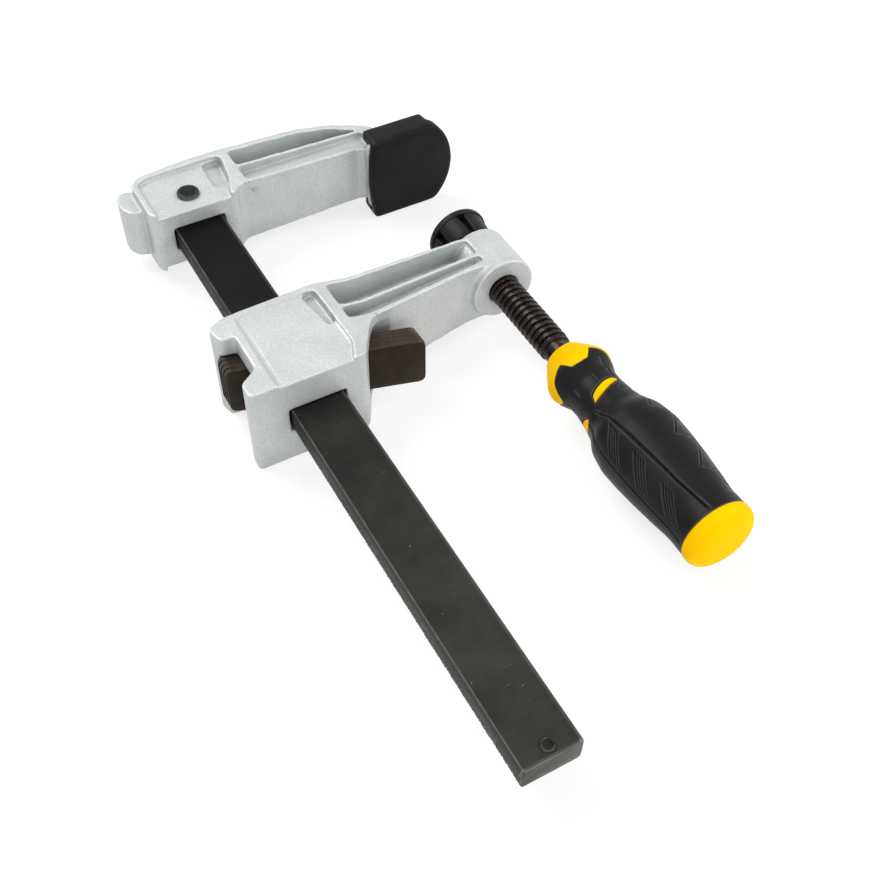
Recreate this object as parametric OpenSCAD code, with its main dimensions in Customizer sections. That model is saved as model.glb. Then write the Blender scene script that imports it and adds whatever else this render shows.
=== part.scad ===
// Quick release bar clamp: a flat bar with a fixed jaw at one end, a sliding jaw that grips the bar
// with a tilted pack of clutch plates, and a screw spindle with a swivel pad and a handle.
// Origin: centre of the fixed pad's clamping face, on the spindle axis. +Y points into the fixed
// jaw, the bar's free end is towards -Y, the bar is on the -X side and +Z is up.

/* [Clamp] */
// Distance from the bar's centre line to the spindle axis
throat = 130; // [110:1:150]
// Gap between the fixed pad and the swivel pad, as drawn
opening = 66; // [30:1:200]
// Half of the height of the two feet that the clamp rests on when it lies flat
rest_h = 28; // [24:0.5:30]

/* [Bar] */
// Width of the bar, across its gripped edges
bar_w = 30; // [26:0.5:32]
// Thickness of the bar
bar_t = 15; // [10:0.5:16]
// Distance from the clamping face to the bar's free end
bar_reach = 375; // [340:5:600]
// Depth of the bar inside the fixed jaw, from the clamping face
bar_seat = 38; // [34:0.5:41]
// Bulge of each gripped edge
bar_crown = 0.6; // [0.2:0.1:1]
// Size of the eased corners at the free end
bar_corner = 1.5; // [0.5:0.5:8]

/* [Stop pin] */
// Radius of the stop pin's heads
stop_head_r = 3.2; // [2.5:0.1:4]
// Radius of the stop pin's shank
stop_shank_r = 2.4; // [1.5:0.1:2.4]
// How far each head stands proud of the bar
stop_proud = 1.2; // [0.8:0.1:2]
// Distance from the bar's free end to the stop pin's centre
stop_inset = 5; // [4:0.5:15]

/* [Fixed jaw] */
// Height of the fixed jaw's block
fixed_block_h = 41.5; // [36:0.5:46]
// Height of the fixed jaw's arm at its tip
fixed_tip_h = 35; // [30:0.5:36]
// Distance from the clamping face to the front of the block
fixed_front = 7.5; // [6:0.5:9]
// Depth of the fixed jaw, from the front of its block to its back
fixed_depth = 43.5; // [40:0.5:50]
// Distance from the clamping face to the arm's front face
fixed_arm_front = 13; // [12:0.5:16]
// Metal beside the bar, on each side of the block
fixed_wall = 13; // [10:0.5:16]
// Thickness of the web between the troughs of both jaws
web_t = 13; // [8:0.5:14]
// Thickness of the metal between the narrow troughs along the front of both arms
ledge_t = 29; // [16:0.5:29.5]
// Depth of the sunk panel round the rivet
panel_depth = 3; // [1:0.1:3.2]
// Size of the eased corners of the castings
cast_corner = 6; // [3:0.5:8]

/* [Jaw rivet] */
// Radius of the rivet's heads
rivet_head_r = 6.5; // [5:0.1:7]
// Height of the rivet's domed heads
rivet_head_h = 2.4; // [1.5:0.1:3]
// Radius of the rivet's shank
rivet_shank_r = 4; // [3:0.1:4.8]

/* [Fixed pad] */
// Width of the pad's straight top and bottom edges
pad_w = 41; // [38:0.5:44]
// Distance from the spindle axis to the middle of the pad's straight edges
pad_shift = 1; // [0:0.5:3]
// Bow of the pad's outer side
pad_bow = 13.5; // [8:0.5:16]
// Bow of the pad's inner side
pad_inner_bow = 3; // [1:0.5:4]
// Thickness of the pad in front of the jaw's flange
pad_t = 5.5; // [4:0.5:5.5]
// Thickness of the pad's lips above and below the flange
pad_lip_t = 4; // [3:0.5:5]
// Distance from the clamping face to the back of the lips
pad_depth = 17.5; // [15:0.5:20]
// Thickness of the jaw's flange that the pad is clipped over
flange_t = 4; // [3.5:0.5:6]

/* [Sliding jaw] */
// Length of the sliding jaw's block, along the bar
slide_len = 59; // [58:0.5:66]
// Distance from the swivel pad's face to the back of the block
slide_back = 29; // [27:0.5:31]
// Metal beside the bar, on the outer side of the block
slide_outer_wall = 21; // [19:0.5:24]
// Metal beside the bar, on the arm's side of the block
slide_inner_wall = 13; // [12:0.5:14]
// Height of the arm where it leaves the block
slide_root_h = 46; // [42:0.5:50]
// Height of the arm at the boss
slide_tip_h = 37; // [33:0.5:38]
// Running clearance between the bar and its slot, on each side
slot_clear = 0.3; // [0.2:0.05:0.5]
// Radius of the boss round the spindle
boss_r = 19; // [18.5:0.5:21]
// Length of the boss
boss_len = 32.5; // [28:0.5:40]
// Radius of the fillet between the boss and the front of the arm
boss_fillet = 3.5; // [1:0.5:5]
// Distance from the swivel pad's face to the back of the boss
boss_back = 22; // [21.5:0.5:24]

/* [Clutch plates] */
// Thickness of each clutch plate
plate_t = 3; // [2.5:0.1:3.2]
// Height of the clutch plates
plate_h = 30; // [26:0.5:32]
// Length of each plate on the outer side of the bar's centre
plate_outer = 37.5; // [36:0.5:38]
// Length of each plate on the arm's side of the bar's centre
plate_inner = 67.5; // [60:0.5:72]
// Radius of the plates' corners
plate_corner = 4.5; // [2:0.5:6]
// Tilt of the gripping plates
plate_tilt = 16; // [14:0.5:17]
// Angle that the plates turn through when they are released
release_angle = 4; // [3:0.5:4]
// Gap between neighbouring plates
plate_gap = 0.05; // [0:0.01:0.1]
// Clearance of the plates' slots at the bar's gripped edges
plate_clear = 1.2; // [1:0.1:1.4]

/* [Clutch spring] */
// Outer radius of the clutch spring
spring_r = 4.5; // [3.5:0.1:5]
// Radius of the spring's wire
spring_wire_r = 0.6; // [0.4:0.05:0.7]
// Number of turns of the spring
spring_turns = 5; // [4:1:7]
// Depth of the pocket that holds the spring
spring_pocket = 10; // [6:0.5:11]

/* [Spindle] */
// Radius over the thread's crests
spindle_r = 8.9; // [8:0.05:9.5]
// Depth of the thread
thread_depth = 1.6; // [1:0.1:2]
// Pitch of the thread
thread_pitch = 4; // [3:0.5:5]
// Running clearance of the spindle in the boss
spindle_clear = 0.08; // [0.05:0.01:0.1]
// Radius of the spindle's plain end in the handle
tang_r = 6; // [5:0.1:6.5]
// Radius of the spindle's ball
ball_r = 6.5; // [5.5:0.1:7]
// Radius of the neck behind the ball
neck_r = 4.4; // [3.5:0.1:4.6]
// Distance from the swivel pad's face to the ball's centre
ball_depth = 11.5; // [11:0.1:12]

/* [Swivel pad] */
// Radius of the swivel pad's face
swivel_r = 18; // [17:0.25:20]
// Thickness of the swivel pad's rim
swivel_rim_t = 5; // [4:0.25:6]
// Radius of the swivel pad's hub
hub_r = 14.2; // [13.8:0.1:15]
// Height of the raised blocks on the hub
block_rise = 2.2; // [1:0.1:2.8]
// Distance from the swivel pad's face to the back of its hub
hub_depth = 19.6; // [19:0.1:20]
// Number of raised blocks on the hub
block_count = 6; // [4:1:8]
// Outer radius of the steel socket in the hub
socket_r = 12; // [11.5:0.1:12.5]
// Thickness of the seat between the ball and the socket
seat_t = 2.45; // [2:0.05:2.6]
// Running clearance of the ball joint
joint_clear = 0.05; // [0.03:0.01:0.1]
// Thickness of the snap ring that holds the ball joint together
ring_t = 1.2; // [1:0.1:1.4]

/* [Handle] */
// Largest radius of the handle
handle_r = 23.2; // [21:0.1:24]
// Length of the handle, from its collar to the rim of its end cap
handle_len = 134; // [120:1:150]
// Distance from the swivel pad's face to the handle's collar
handle_start = 117; // [110:1:130]
// Height of the end cap's dome
cap_dome = 5; // [3:0.5:8]
// Thickness of the soft grip over the handle's core
grip_t = 2.6; // [2:0.1:3.5]
// Radius of the cross pin through the core and the spindle
handle_pin_r = 2; // [1.5:0.1:2.5]

/* [Hidden] */
$fn = 64;
// Overrun of every cut
over = 2;
// Size by which one cut face clears another
hair = 0.02;
bar_x = -throat;
bar_half = bar_w / 2;
slot_half_w = bar_half + slot_clear;
slot_h = bar_t + 2 * slot_clear;
slide_y = -opening;

// Fixed jaw: shares of the throat and of the jaw's depth, along its back from the tip
fixed_back_shares = [
    [0.965, 0.52], [0.9, 0.67], [0.77, 0.86], [0.63, 0.965], [0.46, 0.985], [0.07, 1], [-0.16, 0.93]
];
// Shares of the throat where the front of the arm starts and ends
fixed_arm_start_share = 0.22;
fixed_arm_end_share = 0.965;
fixed_left = -(bar_half + fixed_wall);
fixed_right = bar_half + fixed_wall;
fixed_back = fixed_front + fixed_depth;
// Fixed jaw: the heel behind the block's outer side, in shares of the block's wall and of its depth
heel_shares = [[0, 0.32], [0.55, 0.36], [0.82, 0.5], [0.82, 0.72], [0.5, 0.86], [0, 0.82], [-0.4, 0.6]];
// Share of the block's height that the heel has
heel_h_share = 0.76;
// Rivet's place, as a share of the jaw's depth
rivet_share = 0.34;
rivet_y = fixed_front + rivet_share * fixed_depth;
// Flange under the fixed pad
flange_h = 2 * (rest_h - pad_lip_t);
flange_left = pad_shift - pad_w / 2 - pad_inner_bow / 2;
flange_right = pad_shift + pad_w / 2 + pad_bow * 0.55;

// Troughs of the fixed jaw, in shares of the throat and of the jaw's depth
fixed_trough_back_shares = [
    [0.265, 0.55], [0.265, 0.895], [0.46, 0.885], [0.63, 0.865], [0.75, 0.78], [0.885, 0.55]
];
fixed_trough_front_shares = [[0.265, 0.185], [0.265, 0.5], [0.89, 0.495], [0.89, 0.19]];
// Sunk panel round the rivet, in shares of the throat and of the jaw's depth
panel_shares = [[-0.185, -0.1], [-0.185, 0.8], [-0.12, 0.86], [0.225, 0.88], [0.195, 0.3], [0.165, 0.1], [0.165, -0.1]];
// Deeper pocket at the arm's end of that panel
pocket_shares = [[0.125, 0.3], [0.18, 0.3], [0.2, 0.42], [0.218, 0.86], [0.13, 0.86]];
pocket_depth = 2 * panel_depth;

// Sliding jaw: places from the bar's centre and from the swivel pad's face
slide_left = -(bar_half + slide_outer_wall);
slide_right = bar_half + slide_inner_wall;
slide_front = slide_back + slide_len;
notch_depth = slide_outer_wall / 2;
// Shares of the block's length where the outer notch starts and ends
notch_start_share = 0.27;
notch_end_share = 0.71;
notch_lip_share = 0.83;
notch_start = slide_back + notch_start_share * slide_len;
notch_end = slide_back + notch_end_share * slide_len;
notch_lip = slide_back + notch_lip_share * slide_len;
// Front of the arm: shares of the throat, and of the block's length
arm_front_shares = [[0.83, 0.37], [0.35, 0.54], [0.3, 0.68]];
// How far the back of the arm leans towards the pads
arm_lean = 5;
// Share of the throat at which the arm leaves the block
slide_root_share = 0.36;
// Troughs of the sliding jaw, in shares of the throat and of the block's length; the boss closes their ends
slide_trough_back_shares = [[0.25, 0.02], [0.25, 0.315], [0.93, 0.165], [0.93, -0.045]];
slide_trough_front_shares = [[0.25, 0.355], [0.25, 0.5], [0.29, 0.505], [0.93, 0.285], [0.93, 0.205]];
// Sunk panel on top of the block, in shares of the throat and of the block's length
slide_panel_shares = [[-0.155, 0.05], [0.19, 0.05], [0.2, 0.8], [0.14, 1.1], [-0.155, 1.1]];
slide_pocket_shares = [[0.132, 0.05], [0.19, 0.05], [0.197, 0.49], [0.163, 0.51]];
slide_panel_depth = 1.6;

// Clutch: the plates' middle line crosses the bar's centre here, from the swivel pad's face
plate_pitch = (plate_t + plate_gap) / cos(plate_tilt);
plate_count = 4;
stack_len = plate_count * plate_pitch;
clutch_share = 0.47;
clutch_y = slide_back + clutch_share * slide_len + plate_pitch / 2;
plate_slot_half = (bar_half + bar_crown + plate_t / 2 * sin(plate_tilt)) / cos(plate_tilt) + plate_clear;
cavity_clear = 0.5;
cavity_h = plate_h + 4 * cavity_clear;
// The plates rock about the outer end of the pack
fulcrum_x = -plate_outer * cos(plate_tilt) + plate_t;
fulcrum_h = clutch_y + fulcrum_x * tan(plate_tilt) - stack_len / 2 - cavity_clear;
open_tilt = plate_tilt - release_angle - 1;
// Spring between the back wall and the first plate
spring_share = 0.19;
spring_x = spring_share * throat;
spring_end = clutch_y + spring_x * tan(plate_tilt) - stack_len / 2 - hair;
spring_wall = fulcrum_h + (spring_x - fulcrum_x) * tan(open_tilt);
spring_start = spring_wall - spring_pocket;

// Spindle: distances from the swivel pad's face
thread_start = boss_back + thread_pitch / 8;
thread_count = ceil((handle_start - thread_start) / thread_pitch);
thread_end = thread_start + thread_count * thread_pitch;
tang_end_share = 0.86;
tang_end = handle_start + tang_end_share * handle_len;
seat_r = ball_r + seat_t;
seat_cut = ball_depth + 0.6 * ball_r;
ring_seat = ball_depth + 0.79 * ball_r;
ring_inner_r = sqrt(pow(seat_r + 4 * joint_clear, 2) - pow(ring_seat - ball_depth, 2)) + 2 * joint_clear;
socket_mouth_r = ring_inner_r + ring_t / 3;
ring_outer_r = socket_mouth_r + ring_t;
socket_front = ball_depth - seat_r - plate_t / 2 + seat_t / 4;

// Handle: shares of its length and of its largest radius
collar_shares = [[0, 0.47], [0.03, 0.61], [0.07, 0.75], [0.105, 0.845], [0.12, 0.825], [0.157, 0.76]];
grip_shares = [
    [0.157, 0.745], [0.195, 0.64], [0.24, 0.63], [0.305, 0.67], [0.38, 0.76], [0.43, 0.92],
    [0.51, 1], [0.6, 0.985], [0.7, 0.94], [0.8, 0.88], [0.88, 0.82], [0.965, 0.82]
];
cap_shares = [[0.965, 0.81], [0.985, 0.84], [1, 0.84]];
// Place of the cross pin, and length of the pin, in the same shares
handle_pin_share = 0.3;
handle_pin_len_share = 0.53;
handle_pin_h = handle_start + handle_pin_share * handle_len;

// Unit vector along v
function unit(v) = v / norm(v);

// Outline with each corner eased over the length cut, which half of the shorter side limits
function eased(points, cut, steps = 5) = [
    for (i = [0 : len(points) - 1])
        let (
            here = points[i],
            before = points[(i + len(points) - 1) % len(points)],
            after = points[(i + 1) % len(points)],
            c = min(cut, norm(before - here) / 2.2, norm(after - here) / 2.2),
            p = here + c * unit(before - here),
            q = here + c * unit(after - here)
        )
        for (k = [0 : steps])
            let (t = k / steps)
            pow(1 - t, 2) * p + 2 * t * (1 - t) * here + t * t * q
];

// Points whose shares are scaled by two lengths, from a start along Y
function placed(shares, along_x, along_y, start = 0) = [
    for (s = shares) [s[0] * along_x, start + s[1] * along_y]
];

// The same outline, with its Y pointing towards the free end
function flipped(points) = [for (p = points) [p[0], -p[1]]];

// Solid of an outline in plan, centred on the bar's middle plane
module slab(points, h) {
    translate([0, 0, -h / 2])
        linear_extrude(h)
            polygon(points);
}

// Solid of an outline in X and Z, drawn along Y from one place to another
module side_slab(points, from, to) {
    translate([0, to, 0])
        rotate([90, 0, 0])
            linear_extrude(to - from)
                polygon(points);
}

// Cut into the top, or into both faces, down to a floor
module sunk(points, floor_z, top, both = true) {
    translate([0, 0, floor_z])
        linear_extrude(top - floor_z)
            polygon(points);
    if (both)
        translate([0, 0, -top])
            linear_extrude(top - floor_z)
                polygon(points);
}

// Places a solid of revolution whose axis is +Z so that it runs along the spindle towards the handle
module on_spindle() {
    translate([0, slide_y, 0])
        rotate([90, 0, 0])
            children();
}

// Places what is drawn from the bar's centre and the clamping face
module at_bar() {
    translate([bar_x, 0, 0])
        children();
}

// Places what is drawn from the bar's centre and the swivel pad's face
module at_slide() {
    translate([bar_x, slide_y, 0])
        children();
}

// Cross-section of the bar, with its bowed edges
module bar_section() {
    edge = bar_t / 10;
    polygon(eased([
        [-bar_half + edge / 2, -bar_t / 2],
        [bar_half - edge / 2, -bar_t / 2],
        [bar_half + bar_crown, 0],
        [bar_half - edge / 2, bar_t / 2],
        [-bar_half + edge / 2, bar_t / 2],
        [-bar_half - bar_crown, 0]
    ], edge, 3));
}

module bar() {
    half = bar_half + bar_crown + over;
    color("#26262a")
        at_bar()
            difference() {
                intersection() {
                    translate([0, bar_seat, 0])
                        rotate([90, 0, 0])
                            linear_extrude(bar_seat + bar_reach)
                                bar_section();
                    slab([
                        [-half, bar_seat + over],
                        [half, bar_seat + over],
                        [half, -bar_reach + bar_corner + half - bar_half],
                        [bar_half - bar_corner, -bar_reach],
                        [-bar_half + bar_corner, -bar_reach],
                        [-half, -bar_reach + bar_corner + half - bar_half]
                    ], bar_t + 2 * over);
                }
                translate([0, rivet_y, -bar_t])
                    cylinder(r = rivet_shank_r, h = 2 * bar_t);
                translate([0, stop_inset - bar_reach, -bar_t])
                    cylinder(r = stop_shank_r, h = 2 * bar_t);
            }
}

// Pin with two domed heads, drawn round +Z with its middle at the origin
module headed_pin(shank_r, head_r, head_h, gap) {
    rotate_extrude()
        polygon([
            [0, -gap / 2 - head_h],
            [head_r * 0.5, -gap / 2 - head_h * 0.92],
            [head_r * 0.85, -gap / 2 - head_h * 0.65],
            [head_r, -gap / 2 - head_h * 0.25],
            [head_r, -gap / 2],
            [shank_r, -gap / 2],
            [shank_r, gap / 2],
            [head_r, gap / 2],
            [head_r, gap / 2 + head_h * 0.25],
            [head_r * 0.85, gap / 2 + head_h * 0.65],
            [head_r * 0.5, gap / 2 + head_h * 0.92],
            [0, gap / 2 + head_h]
        ]);
}

module stop_pin() {
    color("#1d1d1f")
        at_bar()
            translate([0, stop_inset - bar_reach, 0])
                headed_pin(stop_shank_r, stop_head_r, stop_proud, bar_t);
}

module jaw_rivet() {
    color("#1d1d1f")
        at_bar()
            translate([0, rivet_y, 0])
                headed_pin(rivet_shank_r, rivet_head_r, rivet_head_h, fixed_block_h - 2 * panel_depth);
}

// Outline of the fixed jaw in plan, from the bar's centre
function fixed_outline() = eased(concat(
    [
        [fixed_left, fixed_front],
        [fixed_arm_start_share * throat - fixed_wall / 3, fixed_front],
        [fixed_arm_start_share * throat, fixed_arm_front],
        [throat + flange_left - cast_corner / 2, fixed_arm_front],
        [throat + flange_left + cast_corner / 3, pad_t + flange_t - hair],
        [fixed_arm_end_share * throat, pad_t + flange_t - hair]
    ],
    placed(fixed_back_shares, throat, fixed_depth, fixed_front),
    [[fixed_left, fixed_front + 0.8 * fixed_depth]]
), cast_corner);

// Height of the fixed jaw along X: level over the block, then falling to the tip
function fixed_side() = let (
    reach = throat + fixed_wall,
    root = fixed_arm_start_share * throat,
    b = fixed_block_h / 2,
    t = fixed_tip_h / 2
) [
    [fixed_left - over, -b], [root, -b], [reach, -t],
    [reach, t], [root, b], [fixed_left - over, b]
];

module fixed_jaw() {
    top = fixed_block_h / 2 + over;
    color("#c3c7c9")
        difference() {
            union() {
                at_bar() {
                    intersection() {
                        slab(fixed_outline(), fixed_block_h);
                        side_slab(fixed_side(), fixed_front - over, fixed_back + over);
                    }
                    slab(
                        eased([for (s = heel_shares) [
                            fixed_left - s[0] * fixed_wall,
                            fixed_front + s[1] * fixed_depth
                        ]], cast_corner / 2),
                        heel_h_share * fixed_block_h
                    );
                }
                side_slab(
                    eased([
                        [flange_left, -flange_h / 2], [flange_right, -flange_h / 2],
                        [flange_right, flange_h / 2], [flange_left, flange_h / 2]
                    ], cast_corner),
                    pad_t, pad_t + flange_t
                );
                side_slab(
                    [
                        [-pad_w / 3, -fixed_tip_h / 3], [pad_w / 3, -fixed_tip_h / 3],
                        [pad_w / 3, fixed_tip_h / 3], [-pad_w / 3, fixed_tip_h / 3]
                    ],
                    pad_t + flange_t - hair, fixed_front + 0.3 * fixed_depth
                );
            }
            at_bar() {
                translate([-bar_half - bar_crown, fixed_front - over, -bar_t / 2])
                    cube([bar_w + 2 * bar_crown, bar_seat - fixed_front + over, bar_t]);
                translate([0, rivet_y, -fixed_block_h])
                    cylinder(r = rivet_shank_r, h = 2 * fixed_block_h);
                sunk(
                    eased(placed(panel_shares, throat, fixed_depth, fixed_front), cast_corner),
                    fixed_block_h / 2 - panel_depth, top
                );
                sunk(
                    eased(placed(pocket_shares, throat, fixed_depth, fixed_front), cast_corner / 2),
                    fixed_block_h / 2 - pocket_depth, top
                );
                sunk(
                    eased(placed(fixed_trough_back_shares, throat, fixed_depth, fixed_front), cast_corner / 2),
                    web_t / 2, top
                );
                sunk(
                    eased(placed(fixed_trough_front_shares, throat, fixed_depth, fixed_front), cast_corner / 2),
                    ledge_t / 2, top
                );
            }
        }
}

// Outline of the fixed pad's face in X and Z: straight above and below, bowed at both sides
function pad_outline() = let (
    right = pad_shift + pad_w / 2,
    left = pad_shift - pad_w / 2,
    steps = 16
) concat(
    [for (k = [0 : steps])
        let (a = -cos(180 * k / steps))
        [right + pad_bow * pow(max(0, 1 - a * a), 0.75), a * rest_h]
    ],
    [for (k = [0 : steps])
        let (a = cos(180 * k / steps))
        [left - pad_inner_bow * (1 - a * a), a * rest_h]
    ]
);

module fixed_pad() {
    lip_left = pad_shift - pad_w / 2;
    lip_right = pad_shift + pad_w / 2;
    open_side = lip_left - pad_inner_bow - over;
    color("#17171a")
        difference() {
            union() {
                side_slab(pad_outline(), 0, pad_t);
                for (side = [-1, 1])
                    side_slab([
                        [lip_left, side * (rest_h - 2 * pad_lip_t)], [lip_right, side * (rest_h - 2 * pad_lip_t)],
                        [lip_right, side * rest_h], [lip_left, side * rest_h]
                    ], pad_t - hair, pad_depth);
                side_slab(pad_outline(), pad_t - hair, pad_t + flange_t);
            }
            side_slab([
                [open_side, -flange_h / 2 - hair], [flange_right + hair, -flange_h / 2 - hair],
                [flange_right + hair, flange_h / 2 + hair], [open_side, flange_h / 2 + hair]
            ], pad_t, pad_t + flange_t + hair);
        }
}

// Outline of the sliding jaw in plan, from the bar's centre and the swivel pad's face
function slide_outline() = flipped(eased(concat(
    [
        [slide_left, slide_back + notch_depth / 2],
        [slide_left + notch_depth, slide_back],
        [throat, slide_back - arm_lean],
        [throat, slide_back + arm_front_shares[0][1] * slide_len]
    ],
    placed(arm_front_shares, throat, slide_len, slide_back),
    [
        [slide_right, slide_front],
        [slide_left + hair, slide_front],
        [slide_left, notch_lip],
        [slide_left + notch_depth, notch_end],
        [slide_left + notch_depth, notch_start],
        [slide_left + notch_depth / 4, notch_start]
    ]
), cast_corner / 2));

// Height of the sliding jaw along X: level over the block, falling to the arm's root and tip
function slide_side() = let (
    root = slide_root_share * throat,
    r = slide_root_h / 2,
    t = slide_tip_h / 2
) [
    [slide_left - over, -rest_h], [slide_right - over, -rest_h], [root, -r], [throat, -t],
    [throat, t], [root, r], [slide_right - over, rest_h], [slide_left - over, rest_h]
];

// Space that the plates need, gripping and released, open at both sides of the block
function clutch_space() = let (
    outer = slide_left - over,
    inner = plate_inner,
    front = clutch_y + stack_len / 2 + cavity_clear
) flipped([
    [outer, fulcrum_h + (outer - fulcrum_x) * tan(plate_tilt)],
    [fulcrum_x, fulcrum_h],
    [inner, fulcrum_h + (inner - fulcrum_x) * tan(open_tilt)],
    [inner, front + inner * tan(plate_tilt)],
    [-bar_half, max(front - bar_half * tan(plate_tilt), notch_end)],
    [outer, notch_end]
]);

// Block and arm of the sliding jaw, with the troughs on both sides of the arm's web
module slide_arm() {
    top = rest_h + over;
    difference() {
        intersection() {
            slab(slide_outline(), 2 * rest_h);
            side_slab(slide_side(), -slide_front - over, 0);
        }
        sunk(
            eased(flipped(placed(slide_trough_back_shares, throat, slide_len, slide_back)), cast_corner / 2),
            web_t / 2, top
        );
        sunk(
            eased(flipped(placed(slide_trough_front_shares, throat, slide_len, slide_back)), cast_corner / 3),
            ledge_t / 2, top
        );
    }
}

// Boss round the spindle, with a fillet where the front of the arm runs into it
module boss() {
    arm_face = slide_back + arm_front_shares[0][1] * slide_len;
    steps = 6;
    translate([0, 0, boss_back])
        cylinder(r = boss_r, h = boss_len);
    intersection() {
        rotate_extrude()
            polygon(concat(
                [[boss_r - over, arm_face - over], [boss_r + boss_fillet, arm_face - over]],
                [for (k = [0 : steps])
                    let (a = 90 * k / steps)
                    [boss_r + boss_fillet * (1 - sin(a)), arm_face + boss_fillet * (1 - cos(a))]
                ],
                [[boss_r - over, arm_face + boss_fillet]]
            ));
        translate([-2 * boss_r, -slide_tip_h / 2, 0])
            cube([2 * boss_r, slide_tip_h, boss_back + boss_len]);
    }
}

module sliding_jaw() {
    top = rest_h + over;
    color("#c3c7c9")
        difference() {
            union() {
                at_slide()
                    slide_arm();
                on_spindle()
                    boss();
            }
            at_slide() {
                translate([-slot_half_w - bar_crown, -slide_front - over, -slot_h / 2])
                    cube([2 * (slot_half_w + bar_crown), slide_front + over, slot_h]);
                slab(clutch_space(), cavity_h);
                sunk(
                    eased(flipped(placed(slide_panel_shares, throat, slide_len, slide_back)), cast_corner / 2),
                    rest_h - slide_panel_depth, top, false
                );
                sunk(
                    eased(flipped(placed(slide_pocket_shares, throat, slide_len, slide_back)), cast_corner / 2),
                    rest_h - 3 * slide_panel_depth, top, false
                );
                translate([spring_x, -spring_start, 0])
                    rotate([90, 0, 0])
                        cylinder(r = spring_r + spring_wire_r / 2, h = spring_pocket + over);
            }
            on_spindle()
                translate([0, 0, boss_back - over])
                    cylinder(r = spindle_r + spindle_clear, h = boss_len + 2 * over);
        }
}

// One clutch plate, flat in its own X and Z, with its middle at the bar's centre
module plate() {
    difference() {
        translate([0, plate_t / 2, 0])
            rotate([90, 0, 0])
                linear_extrude(plate_t)
                    polygon(eased([
                        [-plate_outer, -plate_h / 2], [plate_inner, -plate_h / 2],
                        [plate_inner, plate_h / 2], [-plate_outer, plate_h / 2]
                    ], plate_corner));
        translate([-plate_slot_half, -plate_t, -slot_h / 2])
            cube([2 * plate_slot_half, 2 * plate_t, slot_h]);
    }
}

// Plate number i of the pack, from the back wall towards the handle
module clutch_plate(i) {
    color("#3a2f2b")
        at_slide()
            translate([0, -clutch_y + ((plate_count - 1) / 2 - i) * plate_pitch, 0])
                rotate([0, 0, -plate_tilt])
                    plate();
}

// Coil tube along +Z: points of ring k, for a helix of the given radius
function coil_ring(k, per_turn, r, wire, rise, sides) = let (
    a = 360 * k / per_turn,
    mid = [r * cos(a), r * sin(a), rise * k / per_turn],
    out = [cos(a), sin(a), 0],
    up = unit([-rise / (2 * PI * r) * -sin(a), -rise / (2 * PI * r) * cos(a), 1])
) [for (j = [0 : sides - 1]) mid + wire * (cos(360 * j / sides) * out + sin(360 * j / sides) * up)];

module coil(turns, r, wire, length) {
    per_turn = 12;
    sides = 6;
    rings = turns * per_turn;
    rise = (length - 2 * wire) / turns;
    points = [for (k = [0 : rings]) each coil_ring(k, per_turn, r, wire, rise, sides)];
    walls = [
        for (k = [0 : rings - 1], j = [0 : sides - 1])
            let (
                a = k * sides + j,
                b = k * sides + (j + 1) % sides,
                c = b + sides,
                d = a + sides
            )
            each [[a, c, b], [a, d, c]]
    ];
    start_cap = [for (j = [1 : sides - 2]) [0, j, j + 1]];
    first = rings * sides;
    end_cap = [for (j = [1 : sides - 2]) [first, first + j + 1, first + j]];
    translate([0, 0, wire])
        polyhedron(points, concat(walls, start_cap, end_cap));
}

module clutch_spring() {
    color("#8b8f94")
        at_slide()
            translate([spring_x, -spring_start - hair, 0])
                rotate([90, 0, 0])
                    coil(spring_turns, spring_r - spring_wire_r, spring_wire_r, spring_end - spring_start - 2 * hair);
}

// Half profile of the threaded length, as pairs of radius and distance
function thread_profile() = [
    for (i = [0 : thread_count - 1])
        let (h = thread_start + i * thread_pitch)
        each [
            [spindle_r, h + 0.07 * thread_pitch],
            [spindle_r, h + 0.43 * thread_pitch],
            [spindle_r - thread_depth, h + 0.6 * thread_pitch],
            [spindle_r - thread_depth, h + 0.9 * thread_pitch]
        ]
];

module spindle() {
    neck_start = ball_depth + sqrt(ball_r * ball_r - neck_r * neck_r) - hair;
    color("#3b2620")
        on_spindle()
            difference() {
                union() {
                    translate([0, 0, ball_depth])
                        sphere(r = ball_r);
                    rotate_extrude()
                        polygon(concat(
                            [[0, neck_start], [neck_r, neck_start], [neck_r, thread_start]],
                            [[spindle_r - thread_depth, thread_start]],
                            thread_profile(),
                            [
                                [spindle_r - thread_depth, thread_end],
                                [tang_r, thread_end], [tang_r, tang_end], [0, tang_end]
                            ]
                        ));
                }
                translate([0, spindle_r + over, handle_pin_h])
                    rotate([90, 0, 0])
                        cylinder(r = handle_pin_r, h = 2 * (spindle_r + over));
            }
}

module ball_seat() {
    color("#b08d3c")
        on_spindle()
            difference() {
                translate([0, 0, ball_depth])
                    sphere(r = seat_r);
                translate([0, 0, ball_depth])
                    sphere(r = ball_r + joint_clear);
                translate([-2 * seat_r, -2 * seat_r, seat_cut])
                    cube([4 * seat_r, 4 * seat_r, 2 * seat_r]);
                translate([0, 0, ball_depth])
                    cylinder(r = neck_r + joint_clear, h = 2 * seat_r);
            }
}

module swivel_socket() {
    color("#8b8f94")
        on_spindle()
            difference() {
                translate([0, 0, socket_front])
                    cylinder(r = socket_r, h = hub_depth - socket_front);
                translate([0, 0, ball_depth])
                    sphere(r = seat_r + joint_clear);
                translate([0, 0, ball_depth])
                    cylinder(r = socket_mouth_r, h = hub_depth);
                translate([0, 0, ring_seat])
                    cylinder(r = ring_outer_r, h = ring_t);
            }
}

module socket_ring() {
    color("#6c7075")
        on_spindle()
            translate([0, 0, ring_seat])
                difference() {
                    cylinder(r = ring_outer_r, h = ring_t);
                    translate([0, 0, -over])
                        cylinder(r = ring_inner_r, h = ring_t + 2 * over);
                }
}

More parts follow.
